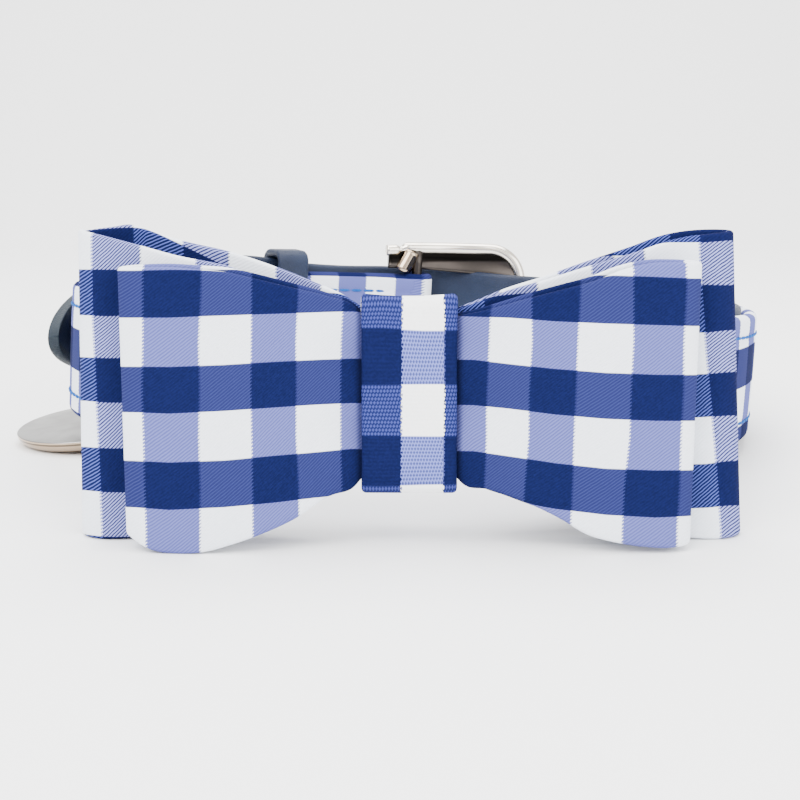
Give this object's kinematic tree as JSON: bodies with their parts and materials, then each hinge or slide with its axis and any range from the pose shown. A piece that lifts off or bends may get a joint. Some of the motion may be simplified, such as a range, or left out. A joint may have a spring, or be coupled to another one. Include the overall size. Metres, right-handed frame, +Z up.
{
  "type": "pet bow tie collar",
  "caption": "Cloth-covered webbing collar for a small dog or cat with a leather tail and metal buckle, a leash ring with a blank disc, and a gingham bow of stacked loops under a knot.",
  "frame": {"origin": "bottom centre of the whole part's box, on the table", "axes": "+Z up, -Y the way the bow faces, +X to the viewer's right; the buckle is at +Y"},
  "size_m": [0.1548, 0.15, 0.0492],
  "materials": {
    "gingham": "matte twill cotton with a blue and white gingham check",
    "band_cloth": "the same gingham twill, stitched along both edges",
    "navy_leather": "satin navy leather",
    "nickel": "polished nickel"
  },
  "bodies": {
    "root": {"collar_band": "band_cloth", "billet": "navy_leather", "keeper": "navy_leather", "buckle_frame": "nickel", "buckle_prong": "nickel", "d_ring": "nickel", "split_ring": "nickel", "id_disc": "nickel", "rear_bow": "gingham", "front_bow": "gingham", "knot": "gingham"}
  },
  "joints": []
}
